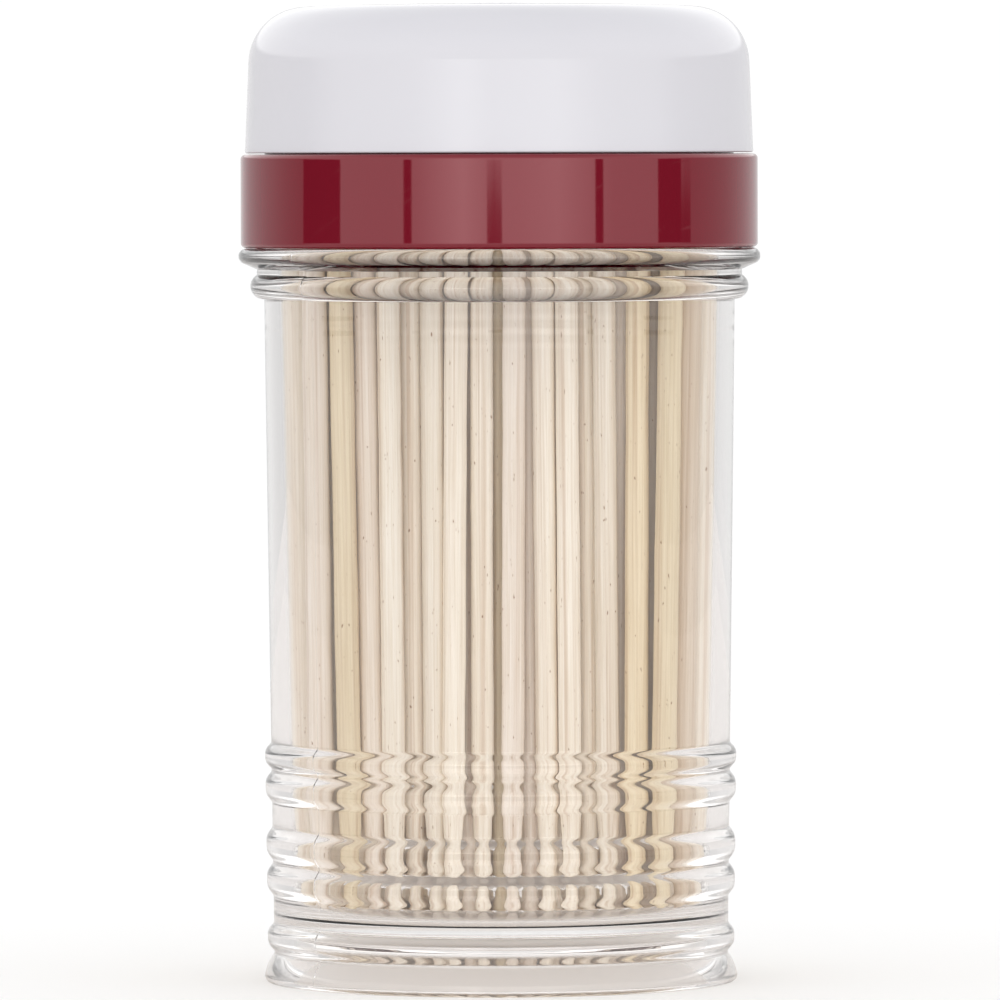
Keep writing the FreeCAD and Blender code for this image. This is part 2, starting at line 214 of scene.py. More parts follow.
class Outline:
    """Half of a round piece's section, as (radius, height) points close enough to shade smoothly."""

    edge_hold = 0.12 * MM
    longest_step = 1.1 * MM
    arc_step = math.radians(6.0)

    def __init__(self, radius, height):
        self.points = [(radius, height)]

    def line(self, radius, height):
        """A straight run, with a point close to each end that holds the shading there."""
        start = Vector(self.points[-1])
        run = Vector((radius, height)) - start
        if run.length < TINY:
            return
        hold = min(self.edge_hold, run.length / 4)
        count = max(1, round((run.length - 2 * hold) / self.longest_step))
        steps = [hold + (run.length - 2 * hold) * number / count for number in range(count + 1)]
        for step in steps + [run.length]:
            self.points.append(tuple(start + run.normalized() * step))

    def turn(self, centre, radius, start, end):
        """A run to an arc about a centre, then that arc. Angle 0 points outwards, a quarter turn up."""
        count = max(3, math.ceil(abs(end - start) / self.arc_step))
        for number in range(count + 1):
            a = start + (end - start) * number / count
            point = (centre[0] + radius * math.cos(a), centre[1] + radius * math.sin(a))
            if number:
                self.points.append(point)
            else:
                self.line(*point)

    def arc(self, middle, end):
        """An arc from the last point through a middle point to an end point."""
        start, middle, end = Vector(self.points[-1]), Vector(middle), Vector(end)
        across, along = middle - start, end - start
        twice_area = 2 * (across.x * along.y - across.y * along.x)
        offset = Vector((
            along.y * across.length_squared - across.y * along.length_squared,
            across.x * along.length_squared - along.x * across.length_squared,
        )) / twice_area
        centre = start + offset
        first = math.atan2(start.y - centre.y, start.x - centre.x)
        last = math.atan2(end.y - centre.y, end.x - centre.x)
        swing = math.remainder(last - first, 2 * math.pi)
        count, radius = max(8, math.ceil(abs(swing) / self.arc_step)), offset.length
        for number in range(1, count + 1):
            a = first + swing * number / count
            self.points.append((centre.x + radius * math.cos(a), centre.y + radius * math.sin(a)))


def even_angles(count):
    """Angles once round, evenly spaced."""
    return [2 * math.pi * number / count for number in range(count)]


def turned_mesh(name, points, angles, shift=None):
    """A round mesh from an outline. shift(angle, radius, height) may move each point a little."""
    vertices, rings = [], []
    for radius, height in points:
        if radius < TINY:
            rings.append([len(vertices)] * len(angles))
            vertices.append((0.0, 0.0, height))
            continue
        ring = []
        for a in angles:
            r, z = shift(a, radius, height) if shift else (radius, height)
            ring.append(len(vertices))
            vertices.append((r * math.cos(a), r * math.sin(a), z))
        rings.append(ring)
    faces = []
    for low, high in zip(rings, rings[1:]):
        for number in range(len(angles)):
            after = (number + 1) % len(angles)
            corners = [low[number], low[after], high[after], high[number]]
            face = list(dict.fromkeys(corners))
            if len(face) > 2:
                faces.append(face)
    mesh = bpy.data.meshes.new(name)
    mesh.from_pydata(vertices, [], faces)
    mesh.validate()
    return mesh


def finish_mesh(mesh, crease_degrees=28.0):
    """Turns every face outwards and shades the mesh smooth, except across its real edges."""
    work = bmesh.new()
    work.from_mesh(mesh)
    bmesh.ops.recalc_face_normals(work, faces=work.faces)
    work.to_mesh(mesh)
    work.free()
    mesh.shade_smooth()
    mesh.set_sharp_from_angle(angle=math.radians(crease_degrees))


def new_piece(name, mesh, *materials):
    """An object in the scene that shows a mesh."""
    piece = bpy.data.objects.new(name, mesh)
    bpy.context.scene.collection.objects.link(piece)
    for material in materials:
        piece.data.materials.append(material)
    return piece


def cut_or_join(piece, tool_mesh, operation):
    """Cuts a closed mesh out of a piece, or joins it on, and keeps the result as the piece's mesh."""
    finish_mesh(tool_mesh)
    tool = new_piece("tool", tool_mesh)
    modifier = piece.modifiers.new(operation.title(), "BOOLEAN")
    modifier.object, modifier.operation, modifier.solver = tool, operation, "EXACT"
    keep_modified(piece)
    bpy.data.objects.remove(tool)


def keep_modified(piece):
    """Replaces a piece's mesh by what its modifiers make of it."""
    bpy.context.view_layer.update()
    changed = piece.evaluated_get(bpy.context.evaluated_depsgraph_get())
    mesh = bpy.data.meshes.new_from_object(changed)
    piece.modifiers.clear()
    piece.data = mesh


def place(piece, body, slot, *nodes):
    """Hands a finished piece to the frame."""
    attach(piece, body)
    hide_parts(*nodes)


# --- Materials -----------------------------------------------------------------------------------------

FLOAT, COLOUR, VECTOR = "NodeSocketFloat", "NodeSocketColor", "NodeSocketVector"
BUMP_DEPTH = 0.02 * MM


def feed(tree, socket, value):
    """Links a socket to a node's result, or sets it to a plain value."""
    if isinstance(value, bpy.types.NodeSocket):
        tree.links.new(value, socket)
    else:
        socket.default_value = value


def add(tree, kind, place_at, **inputs):
    """A shader node with some of its inputs set or linked."""
    node = tree.nodes.new(kind)
    node.location = place_at
    for name, value in inputs.items():
        feed(tree, node.inputs[name], value)
    return node


def maths(tree, operation, place_at, *values, clamp=False):
    """A Math node's result."""
    node = tree.nodes.new("ShaderNodeMath")
    node.operation, node.use_clamp, node.location = operation, clamp, place_at
    for socket, value in zip(node.inputs, values):
        feed(tree, socket, value)
    return node.outputs[0]


def mix(tree, place_at, factor, a, b, kind="RGBA", blend="MIX"):
    """A Mix node's result, between two colours or two plain values."""
    node = tree.nodes.new("ShaderNodeMix")
    node.data_type, node.blend_type, node.location = kind, blend, place_at
    for name, value in (("Factor", factor), ("A", a), ("B", b)):
        feed(tree, node.inputs[name], value)
    return node.outputs["Result"]


def noise(tree, place_at, where, scale, detail):
    """A noise texture's value."""
    node = add(tree, "ShaderNodeTexNoise", place_at, Vector=where, Scale=scale, Detail=detail)
    return node.outputs["Fac"]


def stretched(tree, place_at, where, scale):
    """A position stretched along each axis."""
    return add(tree, "ShaderNodeMapping", place_at, Vector=where, Scale=scale).outputs[0]


def ramp(tree, place_at, factor, stops):
    """A colour ramp through (position, grey or colour) stops."""
    node = tree.nodes.new("ShaderNodeValToRGB")
    node.location = place_at
    tree.links.new(factor, node.inputs["Fac"])
    band = node.color_ramp
    while len(band.elements) < len(stops):
        band.elements.new(0.5)
    for element, (position, value) in zip(band.elements, stops):
        element.position = position
        element.color = (value, value, value, 1.0) if isinstance(value, float) else (*value, 1.0)
    return node.outputs["Color"]


def new_group(name, inputs, outputs):
    """A shader node group with named sockets, and its two end nodes."""
    group = bpy.data.node_groups.new(name, "ShaderNodeTree")
    for socket_name, kind, value in inputs:
        socket = group.interface.new_socket(name=socket_name, in_out="INPUT", socket_type=kind)
        socket.default_value = value
    for socket_name, kind in outputs:
        group.interface.new_socket(name=socket_name, in_out="OUTPUT", socket_type=kind)
    start = group.nodes.new("NodeGroupInput")
    end = group.nodes.new("NodeGroupOutput")
    start.location, end.location = (-900, 0), (900, 0)
    return group, start.outputs, end.inputs


def placed_group(tree, place_at, name, make, **inputs):
    """A node that uses a shared node group with its own values. The group is built once."""
    node = tree.nodes.new("ShaderNodeGroup")
    node.node_tree, node.location = bpy.data.node_groups.get(name) or make(), place_at
    for socket, value in inputs.items():
        feed(tree, node.inputs[socket], value)
    return node


def moulding_marks_group():
    """Faint unevenness of moulded plastic: flow clouds, fine specks and hairline rubs."""
    group, given, out = new_group(
        "Moulding marks",
        [
            ("Roughness", FLOAT, 0.05),
            ("Unevenness", FLOAT, 0.02),
            ("Wave", FLOAT, 0.3),
            ("Specks", FLOAT, 0.5),
        ],
        [("Roughness", FLOAT), ("Height", FLOAT), ("Cloud", FLOAT)],
    )
    where = group.nodes.new("ShaderNodeTexCoord").outputs["Object"]
    cloud = noise(group, (-600, 200), where, 90.0, 3.0)
    fine = noise(group, (-600, 0), where, 2600.0, 2.0)
    turned = add(group, "ShaderNodeMapping", (-800, -250), Vector=where, Rotation=(0.3, 0.5, 0.0)).outputs[0]
    rub = noise(group, (-500, -250), stretched(group, (-650, -250), turned, (1.0, 1.0, 24.0)), 160.0, 4.0)
    rub_mask = maths(group, "GREATER_THAN", (-300, -250), rub, 0.66)
    speck = maths(group, "GREATER_THAN", (-300, 0), fine, 0.74)
    speck = maths(group, "MULTIPLY", (-150, 0), speck, given["Specks"])
    sway = maths(group, "SUBTRACT", (-300, 200), cloud, 0.5)
    sway = maths(group, "MULTIPLY", (-150, 200), sway, given["Unevenness"])
    rough = maths(group, "ADD", (0, 200), given["Roughness"], sway)
    rough = maths(group, "MULTIPLY_ADD", (150, 200), rub_mask, 0.05, rough)
    rough = maths(group, "MULTIPLY_ADD", (300, 200), speck, 0.08, rough, clamp=True)
    height = maths(group, "MULTIPLY", (0, 0), cloud, given["Wave"])
    height = maths(group, "MULTIPLY_ADD", (150, 0), speck, -0.05, height)
    group.links.new(rough, out["Roughness"])
    group.links.new(height, out["Height"])
    group.links.new(cloud, out["Cloud"])
    return group


def wood_grain_group():
    """Turned birch: fibres along the toothpick, darker growth streaks, a few specks and cut marks."""
    group, given, out = new_group(
        "Turned birch",
        [("Tone", COLOUR, (0.7, 0.55, 0.35, 1.0)), ("Along", VECTOR, (0.0, 0.0, 0.0))],
        [("Color", COLOUR), ("Roughness", FLOAT), ("Height", FLOAT)],
    )

    def mask(y, across, along, detail, stops):
        """Where a kind of mark lies, from noise that is fine across the grain and long along it."""
        where = stretched(group, (-700, y), given["Along"], (across, across, along))
        return ramp(group, (-300, y), noise(group, (-500, y), where, 1.0, detail), stops)

    fibre = mask(400, 9000.0, 130.0, 2.0, [(0.34, 0.0), (0.66, 1.0)])
    streak = mask(150, 2600.0, 16.0, 2.0, [(0.44, 0.0), (0.58, 0.35), (0.68, 1.0)])
    patch = mask(-100, 420.0, 45.0, 2.0, [(0.35, 0.0), (0.7, 1.0)])
    speck = mask(-350, 5200.0, 1900.0, 1.0, [(0.73, 0.0), (0.78, 1.0)])
    tone = given["Tone"]
    for x, where, shade in (
        (0, streak, (0.80, 0.72, 0.66, 1.0)),
        (150, patch, (0.95, 0.93, 0.90, 1.0)),
        (300, fibre, (0.91, 0.88, 0.83, 1.0)),
        (450, speck, (0.45, 0.30, 0.20, 1.0)),
    ):
        tone = mix(group, (x, 300), where, tone, shade, blend="MULTIPLY")
    rough = maths(group, "MULTIPLY_ADD", (300, 0), fibre, 0.12, 0.52)
    height = maths(group, "MULTIPLY_ADD", (300, -200), streak, -0.4, fibre)
    height = maths(group, "MULTIPLY_ADD", (450, -200), speck, -0.6, height)
    group.links.new(tone, out["Color"])
    group.links.new(rough, out["Roughness"])
    group.links.new(height, out["Height"])
    return group


def new_material(name):
    """A material with only its Principled shader and output."""
    material = bpy.data.materials.new(name)
    material.use_nodes = True
    tree = material.node_tree
    shader = next(node for node in tree.nodes if node.type == "BSDF_PRINCIPLED")
    output = next(node for node in tree.nodes if node.type == "OUTPUT_MATERIAL")
    return material, tree, shader, output


def bumped(tree, shader, height, strength):
    """Feeds a height into the shader's normal."""
    bump = add(tree, "ShaderNodeBump", (-200, -300), Height=height, Strength=strength, Distance=BUMP_DEPTH)
    tree.links.new(bump.outputs["Normal"], shader.inputs["Normal"])


def glossy_plastic(name, rgb, roughness, cloud_tint, gloss_tint, gloss_level):
    """Moulded plastic with a hard gloss. The gloss takes a little of the plastic's colour."""
    material, tree, shader, _ = new_material(name)
    marks = placed_group(tree, (-600, 0), "Moulding marks", moulding_marks_group, Roughness=roughness)
    clouded = (*[channel * cloud_tint for channel in rgb], 1.0)
    tint = mix(tree, (-300, 200), marks.outputs["Cloud"], (*rgb, 1.0), clouded)
    tree.links.new(tint, shader.inputs["Base Color"])
    tree.links.new(marks.outputs["Roughness"], shader.inputs["Roughness"])
    shader.inputs["IOR"].default_value = 1.5
    shader.inputs["Specular Tint"].default_value = (*gloss_tint, 1.0)
    shader.inputs["Specular IOR Level"].default_value = gloss_level
    bumped(tree, shader, marks.outputs["Height"], 0.12)
    return material


def clear_plastic(name, rgb):
    """Clear moulded plastic. Light that only passes through to the wood isn't bent."""
    material, tree, shader, output = new_material(name)
    marks = placed_group(
        tree, (-600, 0), "Moulding marks", moulding_marks_group, Roughness=0.0, Unevenness=0.03, Specks=0.0
    )
    tree.links.new(marks.outputs["Roughness"], shader.inputs["Roughness"])
    shader.inputs["Base Color"].default_value = (*rgb, 1.0)
    shader.inputs["IOR"].default_value = 1.57
    shader.inputs["Transmission Weight"].default_value = 1.0
    bumped(tree, shader, marks.outputs["Height"], 0.1)
    clear = add(tree, "ShaderNodeBsdfTransparent", (0, -300), Color=(0.975, 0.97, 0.965, 1.0))
    path = tree.nodes.new("ShaderNodeLightPath").outputs
    passing = maths(tree, "MAXIMUM", (0, 300), path["Is Shadow Ray"], path["Is Diffuse Ray"])
    either = add(tree, "ShaderNodeMixShader", (200, 0), Fac=passing)
    tree.links.new(shader.outputs["BSDF"], either.inputs[1])
    tree.links.new(clear.outputs["BSDF"], either.inputs[2])
    tree.links.new(either.outputs["Shader"], output.inputs["Surface"])
    return material


def birch(name):
    """Turned wood whose tone and grain come from values kept on each toothpick."""
    material, tree, shader, _ = new_material(name)
    tone = add(tree, "ShaderNodeAttribute", (-800, 200))
    tone.attribute_name = "tone"
    along = add(tree, "ShaderNodeAttribute", (-800, -100))
    along.attribute_name = "grain"
    wood = placed_group(
        tree,
        (-500, 0),
        "Turned birch",
        wood_grain_group,
        Tone=tone.outputs["Color"],
        Along=along.outputs["Vector"],
    )
    tree.links.new(wood.outputs["Color"], shader.inputs["Base Color"])
    tree.links.new(wood.outputs["Roughness"], shader.inputs["Roughness"])
    shader.inputs["Specular IOR Level"].default_value = 0.3
    bumped(tree, shader, wood.outputs["Height"], 0.5)
    return material


def shared_material(name, make, **values):
    """A material that is built once."""
    return bpy.data.materials.get(name) or make(name, **values)


# --- Jar -----------------------------------------------------------------------------------------------

# Ribs that touch each other, in millimetres: height of the lowest one's foot, and each rib's own height
RIB_GROUPS = ((2.45, (2.45,)), (6.95, (2.87, 2.98)), (14.6, (2.75, 2.3)))
JAR_STEPS = 300  # sides of the jar, away from its seams
SEAM_ANGLES = (math.radians(38.0), math.radians(218.0))
SEAM_HALF = math.radians(0.16)  # half the width of the seam's ridge
RIPPLE_TOP = 4.2 * MM  # highest ripple, below the ledge
RIPPLE_REACH = 4.4 * MM  # height of the rippled band
RIPPLE_PITCH = 1.25 * MM  # from one ripple to the next


def rib_profile(size, height):
    """A rib from foot to head, as (stand, rise) points: a flat crest, round shoulders and hollow ends."""
    points, steps = [], 40
    for number in range(1, steps + 1):
        across = abs(2 * number / steps - 1)
        stand = size.rib_stand * (1 + math.cos(math.pi * across**size.rib_flatness)) / 2
        points.append((stand, height * number / steps))
    return points


def jar_outline(size, low, high, ledge, ledge_radius):
    """The jar's section, from the middle of the recess under its floor, outwards and up, and back inside."""

    def cavity(height):
        return size.cavity_foot + height * math.tan(size.cavity_draft)

    def wall(height):
        return size.cavity_foot + size.wall + height * math.tan(size.wall_draft)

    up, down, out = math.pi / 2, -math.pi / 2, 0.0

    # Recess, foot ring and rim
    rim_out = wall(0) + size.rim_stand
    foot_inner = rim_out - size.rim_edge - size.foot_ring
    recess_lean, recess_corner = 0.2 * MM, 0.6 * MM
    recess_nook = (foot_inner - recess_lean - recess_corner, size.recess - recess_corner)
    rim_shoulder = (wall(0) + 0.6 * MM, 1.3 * MM)
    outline = Outline(0.0, size.recess)
    outline.turn(recess_nook, recess_corner, up, out)
    outline.line(foot_inner, low)
    outline.turn((rim_out - size.rim_edge, size.rim_edge), size.rim_edge, down, out)
    outline.arc(rim_shoulder, (wall(size.rim_height), size.rim_height))

    for bottom, heights in RIB_GROUPS:
        bottom *= MM
        outline.line(wall(bottom), bottom)
        for height in heights:
            for stand, rise in rib_profile(size, height * MM):
                outline.points.append((wall(bottom + rise) + stand, bottom + rise))
            bottom += height * MM

    # Fine steps for the ripples, then the lower bead, the groove over it and the upper bead
    bead_drop, bead_stand, groove_depth, groove_height = 3.15 * MM, 1.12 * MM, 0.53 * MM, 0.45 * MM
    bead = ledge - bead_drop
    crest = wall(bead) + bead_stand
    bead_start = math.acos(1 - bead_stand / size.lower_bead)
    bead_end = math.acos(1 - groove_depth / size.lower_bead)
    fine_reach, fine_steps = 5.0 * MM, 40
    fine_low, fine_high = bead - fine_reach, bead - size.lower_bead * math.sin(bead_start)
    outline.line(wall(fine_low), fine_low)
    for number in range(1, fine_steps):
        height = fine_low + (fine_high - fine_low) * number / fine_steps
        outline.points.append((wall(height), height))
    outline.turn((crest - size.lower_bead, bead), size.lower_bead, -bead_start, bead_end)
    outline.line(crest - groove_depth, bead + size.lower_bead * math.sin(bead_end) + groove_height)
    nose, nose_start = (ledge_radius - size.upper_bead, ledge - size.upper_bead), math.radians(-69.0)
    outline.turn(nose, size.upper_bead, nose_start, up)

    # Neck with its snap bead and lip, and back down the cavity
    neck = cavity(ledge) + size.neck_wall
    snap, snap_stand, lip = high - SNAP_DROP, 0.25 * MM, 0.4 * MM
    outline.line(neck, ledge)
    outline.line(neck, snap - SNAP_HALF)
    outline.arc((neck + snap_stand, snap), (neck, snap + SNAP_HALF))
    outline.turn((neck - lip, high - lip), lip, out, up)
    outline.turn((cavity(high) + lip, high - lip), lip, up, math.pi)
    floor_top = size.recess + size.floor
    corner = (cavity(floor_top) - size.floor_corner, floor_top + size.floor_corner)
    outline.turn(corner, size.floor_corner, out, down)
    outline.line(0.0, floor_top)
    return outline.points


def jar_angles():
    """Angles round the jar, with extra ones beside each mould seam."""
    beside = [math.radians(a) for a in (-1.0, -0.4, -0.16, -0.05, 0.05, 0.16, 0.4, 1.0)]
    cleared = math.radians(1.3)
    angles = {round(a, 6) for a in even_angles(JAR_STEPS)}
    for seam in SEAM_ANGLES:
        angles = {a for a in angles if abs(a - seam) > cleared}
        angles |= {seam + step for step in beside}
    return sorted(angles)


def jar_shift(size, ledge):
    """What moves the outer wall a little: ripples below the bead, and two mould halves out of line."""
    still_share, foot_fade, ledge_fade, ledge_land = 0.7, 1.6 * MM, 1.0 * MM, 0.01 * MM

    def shift(a, radius, height):
        still = size.cavity_foot + size.wall * still_share + height * math.tan(size.wall_draft)
        if radius < still or height > ledge - ledge_land:
            return radius, height
        below = ledge - RIPPLE_TOP - height
        if 0.0 < below < RIPPLE_REACH:
            fade = math.sin(math.pi * below / RIPPLE_REACH)
            swing = math.sin(2 * math.pi * below / RIPPLE_PITCH + 0.7 * math.sin(3 * a))
            radius += size.ripple * fade * fade * swing * (0.7 + 0.3 * math.sin(5 * a + 1.0))
        gap = min(abs(math.remainder(a - seam, 2 * math.pi)) for seam in SEAM_ANGLES)
        ridge = max(0.0, 1.0 - gap / SEAM_HALF)
        fade = min(1.0, height / foot_fade, (ledge - height) / ledge_fade)
        half = SEAM_ANGLES[0] < a < SEAM_ANGLES[1]
        return radius + size.seam_ridge * ridge * fade, height + size.seam_step * fade * half

    return shift


class DISPENSER_OT_make_jar(bpy.types.Operator):
    """Makes the clear jar with its ribs, beads, neck and mould seam"""

    bl_idname = "dispenser.make_jar"
    bl_label = "Make Jar"

    def execute(self, context):
        size = context.scene.dispenser_jar
        low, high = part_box("jar")
        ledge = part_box("neck_collar")[0].z
        points = jar_outline(size, low.z, high.z, ledge, high.x)
        mesh = turned_mesh("clear_jar", points, jar_angles(), jar_shift(size, ledge))
        finish_mesh(mesh)
        tint = context.scene.dispenser_finishes.clear
        jar = new_piece("clear_jar", mesh, shared_material("clear moulded plastic", clear_plastic, rgb=tint))
        place(jar, "filled_jar", "clear_plastic", "jar")
        return {"FINISHED"}


# --- Cap and collar ------------------------------------------------------------------------------------


class Dome:
    """The crown, corner and drafted side that the cap and the turret inside it share."""

    def __init__(self, size):
        low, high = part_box("twist_cap")
        self.foot, self.top, self.foot_radius = low.z, high.z, high.x
        self.draft, self.corner, self.crown = size.draft, size.corner, size.crown

        # The corner's centre: the corner's radius inside the side, and inside the crown's arc
        slope = math.tan(size.draft)
        crown_centre = self.top - size.crown
        reach = size.crown - size.corner
        side = self.side(size.corner, crown_centre)
        rise = (side * slope + math.sqrt(reach**2 * (1 + slope**2) - side**2)) / (1 + slope**2)
        self.orbit, self.height = side - rise * slope, crown_centre + rise
        self.crown_edge = math.acos(self.orbit / reach)

    def side(self, inset, height):
        """Radius of the side at a height, moved inwards by an inset."""
        return self.foot_radius - (height - self.foot) * math.tan(self.draft) - inset / math.cos(self.draft)

    def crown_points(self, inset):
        """Points of the crown from the axis to the corner."""
        radius, centre = self.crown - inset, self.top - self.crown
        sweep, steps = math.pi / 2 - self.crown_edge, 14
        points = [(0.0, centre + radius)]
        for number in range(1, steps + 1):
            a = math.pi / 2 - sweep * number / steps
            points.append((radius * math.cos(a), centre + radius * math.sin(a)))
        return points

    def inwards(self, outline, inset):
        """From the axis out over the crown and round the corner."""
        outline.points += self.crown_points(inset)[1:]
        outline.turn((self.orbit, self.height), self.corner - inset, self.crown_edge, self.draft)

    def outwards(self, outline, inset):
        """Round the corner and over the crown to the axis."""
        outline.turn((self.orbit, self.height), self.corner - inset, self.draft, self.crown_edge)
        outline.points += self.crown_points(inset)[-2::-1]


def outlet_orbit(size, dome):
    """How far the outlet's centre is from the axis."""
    return dome.orbit - size.outlet_land - size.outlet_edge - size.outlet / 2


def stop_groove_half(size):
    """Half the width of the groove that the stop peg runs in, with the peg's play."""
    play = 0.4 * MM
    return (size.peg + play) / 2


def stop_orbit(size, dome):
    """How far the stop peg is from the axis."""
    land = 1.5 * MM
    return outlet_orbit(size, dome) - size.outlet / 2 - land - stop_groove_half(size)


def cap_outline(size, dome):
    """The cap's section from the middle of its top, down the outside and back up the inside."""
    bead, bead_half = dome.foot + CAP_BEAD_RISE, 0.45 * MM
    outline = Outline(0.0, dome.top)
    dome.inwards(outline, 0.0)
    edge = (dome.side(size.foot_edge, dome.foot + size.foot_edge), dome.foot + size.foot_edge)
    outline.turn(edge, size.foot_edge, size.draft, -math.pi / 2)
    outline.line(dome.side(size.wall, dome.foot), dome.foot)
    outline.line(dome.side(size.wall, bead - bead_half), bead - bead_half)
    crest = (dome.side(size.wall + size.gap, bead) - size.bead, bead)
    outline.arc(crest, (dome.side(size.wall, bead + bead_half), bead + bead_half))
    dome.outwards(outline, size.wall)
    return outline.points


def collar_outline(size, cap, dome):
    """The collar's section from the middle of its deck, down the turret, round the band and back inside."""
    inset = cap.wall + cap.gap
    bore = inset + size.turret_wall
    low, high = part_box("neck_collar")
    band, band_top = high.x, low.z + size.band
    groove, half = dome.foot + CAP_BEAD_RISE, 0.6 * MM
    outline = Outline(0.0, dome.top - inset)
    dome.inwards(outline, inset)
    outline.line(dome.side(inset, groove + half), groove + half)
    groove_floor = dome.side(inset, groove) - size.groove_depth
    outline.arc((groove_floor, groove), (dome.side(inset, groove - half), groove - half))
    outline.line(dome.side(inset, band_top), band_top)
    outline.turn((band - size.band_edge, band_top - size.band_edge), size.band_edge, math.pi / 2, 0.0)
    seat = low.z + size.seat_gap
    outline.turn((band - size.band_edge, seat + size.band_edge), size.band_edge, 0.0, -math.pi / 2)
    outline.line(size.skirt_bore, seat)
    ring_gap, ring_height = 0.12 * MM, 1.1 * MM
    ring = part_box("jar")[1].z - SNAP_DROP - SNAP_HALF - ring_gap
    ring_low = ring - ring_height
    outline.line(size.skirt_bore, ring_low)
    outline.arc((size.skirt_bore - size.snap_reach, (ring + ring_low) / 2), (size.skirt_bore, ring))
    outline.line(size.skirt_bore, band_top - size.plate)
    outline.line(dome.side(bore, band_top - size.plate), band_top - size.plate)
    dome.outwards(outline, bore)
    return outline.points


def moved_in_front(mesh, orbit, height):
    """A mesh moved to a distance before the axis and to a height."""
    mesh.transform(Matrix.Translation((orbit * math.cos(FRONT), orbit * math.sin(FRONT), height)))
    return mesh


def outlet_cutter(size, dome):
    """A trumpet that cuts the outlet through the cap and rounds its upper edge."""
    radius, edge = size.outlet / 2, size.outlet_edge
    below, above, edge_end = -3.0 * MM, 1.0 * MM, math.radians(97.0)
    orbit = outlet_orbit(size, dome)
    surface = dome.top - dome.crown + math.sqrt(dome.crown**2 - orbit**2)
    outline = Outline(0.0, below)
    outline.line(radius, below)
    outline.turn((radius + edge, -edge), edge, math.pi, edge_end)
    outline.line(outline.points[-1][0], above)
    outline.line(0.0, above)
    mesh = turned_mesh("tool", outline.points, even_angles(OUTLET_STEPS))
    mesh.transform(Matrix.Rotation(math.asin(orbit / dome.crown), 4, "X"))
    return moved_in_front(mesh, orbit, surface)


def outlet_drill(cap, dome, deck):
    """A cylinder that cuts the outlet through the collar's deck."""
    reach, start = 5 * MM, 2 * MM
    outline = Outline(0.0, 0.0)
    outline.line(cap.outlet / 2, 0.0)
    outline.line(cap.outlet / 2, reach)
    outline.line(0.0, reach)
    mesh = turned_mesh("tool", outline.points, even_angles(OUTLET_STEPS))
    return moved_in_front(mesh, outlet_orbit(cap, dome), deck - start)


def arc_points(centre, radius, start, end, numbers, steps):
    """Points of an arc that is cut into equal steps, of which only some are asked for."""
    angles = [start + (end - start) * number / steps for number in numbers]
    return [(centre[0] + radius * math.cos(a), centre[1] + radius * math.sin(a)) for a in angles]


def stop_groove_cutter(size, cap, dome):
    """The curved groove in the deck that the cap's peg runs in, with round ends."""
    orbit, half = stop_orbit(cap, dome), stop_groove_half(cap)
    end_play = 0.12 * MM
    trim = end_play / orbit
    first, last = math.pi + trim, 1.5 * math.pi - trim
    low, height = dome.top - cap.wall - cap.gap - size.stop_groove_depth, 2 * MM
    axis, sides, ends = (0.0, 0.0), range(25), range(1, 16)
    first_end = (orbit * math.cos(first), orbit * math.sin(first))
    last_end = (orbit * math.cos(last), orbit * math.sin(last))
    loop = arc_points(axis, orbit + half, first, last, sides, 24)
    loop += arc_points(last_end, half, last, last + math.pi, ends, 16)
    loop += arc_points(axis, orbit - half, last, first, sides, 24)
    loop += arc_points(first_end, half, first + math.pi, first + 2 * math.pi, ends, 16)
    count = len(loop)
    vertices = [(x, y, low) for x, y in loop] + [(x, y, low + height) for x, y in loop]
    faces = [list(range(count)), list(range(count, 2 * count))]
    faces += [[n, (n + 1) % count, count + (n + 1) % count, count + n] for n in range(count)]
    mesh = bpy.data.meshes.new("tool")
    mesh.from_pydata(vertices, [], faces)
    return mesh


def stop_peg(size, dome, reach):
    """The peg under the cap's top that runs in the collar's stop groove."""
    radius, edge = size.peg / 2, 0.15 * MM
    root = reach + size.wall / 2
    outline = Outline(0.0, 0.0)
    outline.line(radius - edge, 0.0)
    outline.turn((radius - edge, edge), edge, -math.pi / 2, 0.0)
    outline.line(radius, root)
    outline.line(0.0, root)
    mesh = turned_mesh("tool", outline.points, even_angles(PEG_STEPS))
    return moved_in_front(mesh, stop_orbit(size, dome), dome.top - size.wall - reach)


def weigh_normals(piece):
    """Keeps large faces shading flat beside the small faces of a cut edge."""
    finish_mesh(piece.data)
    modifier = piece.modifiers.new("Weighted Normal", "WEIGHTED_NORMAL")
    modifier.keep_sharp = True
    keep_modified(piece)


class DISPENSER_OT_make_collar(bpy.types.Operator):
    """Makes the red collar: band, skirt, turret, deck outlet and stop groove"""

    bl_idname = "dispenser.make_collar"
    bl_label = "Make Collar"

    def execute(self, context):
        size, cap = context.scene.dispenser_collar, context.scene.dispenser_cap
        finish = context.scene.dispenser_finishes
        dome = Dome(cap)
        mesh = turned_mesh("red_collar", collar_outline(size, cap, dome), even_angles(ROUND_STEPS))
        finish_mesh(mesh)
        red = shared_material(
            "glossy red plastic",
            glossy_plastic,
            rgb=finish.collar,
            roughness=finish.gloss,
            cloud_tint=0.94,
            gloss_tint=(1.0, 0.63, 0.64),
            gloss_level=0.77,
        )
        collar = new_piece("red_collar", mesh, red)
        deck = dome.top - cap.wall - cap.gap - size.turret_wall
        cut_or_join(collar, outlet_drill(cap, dome, deck), "DIFFERENCE")
        cut_or_join(collar, stop_groove_cutter(size, cap, dome), "DIFFERENCE")
        weigh_normals(collar)
        place(collar, "collar", "red_plastic", "neck_collar")
        return {"FINISHED"}


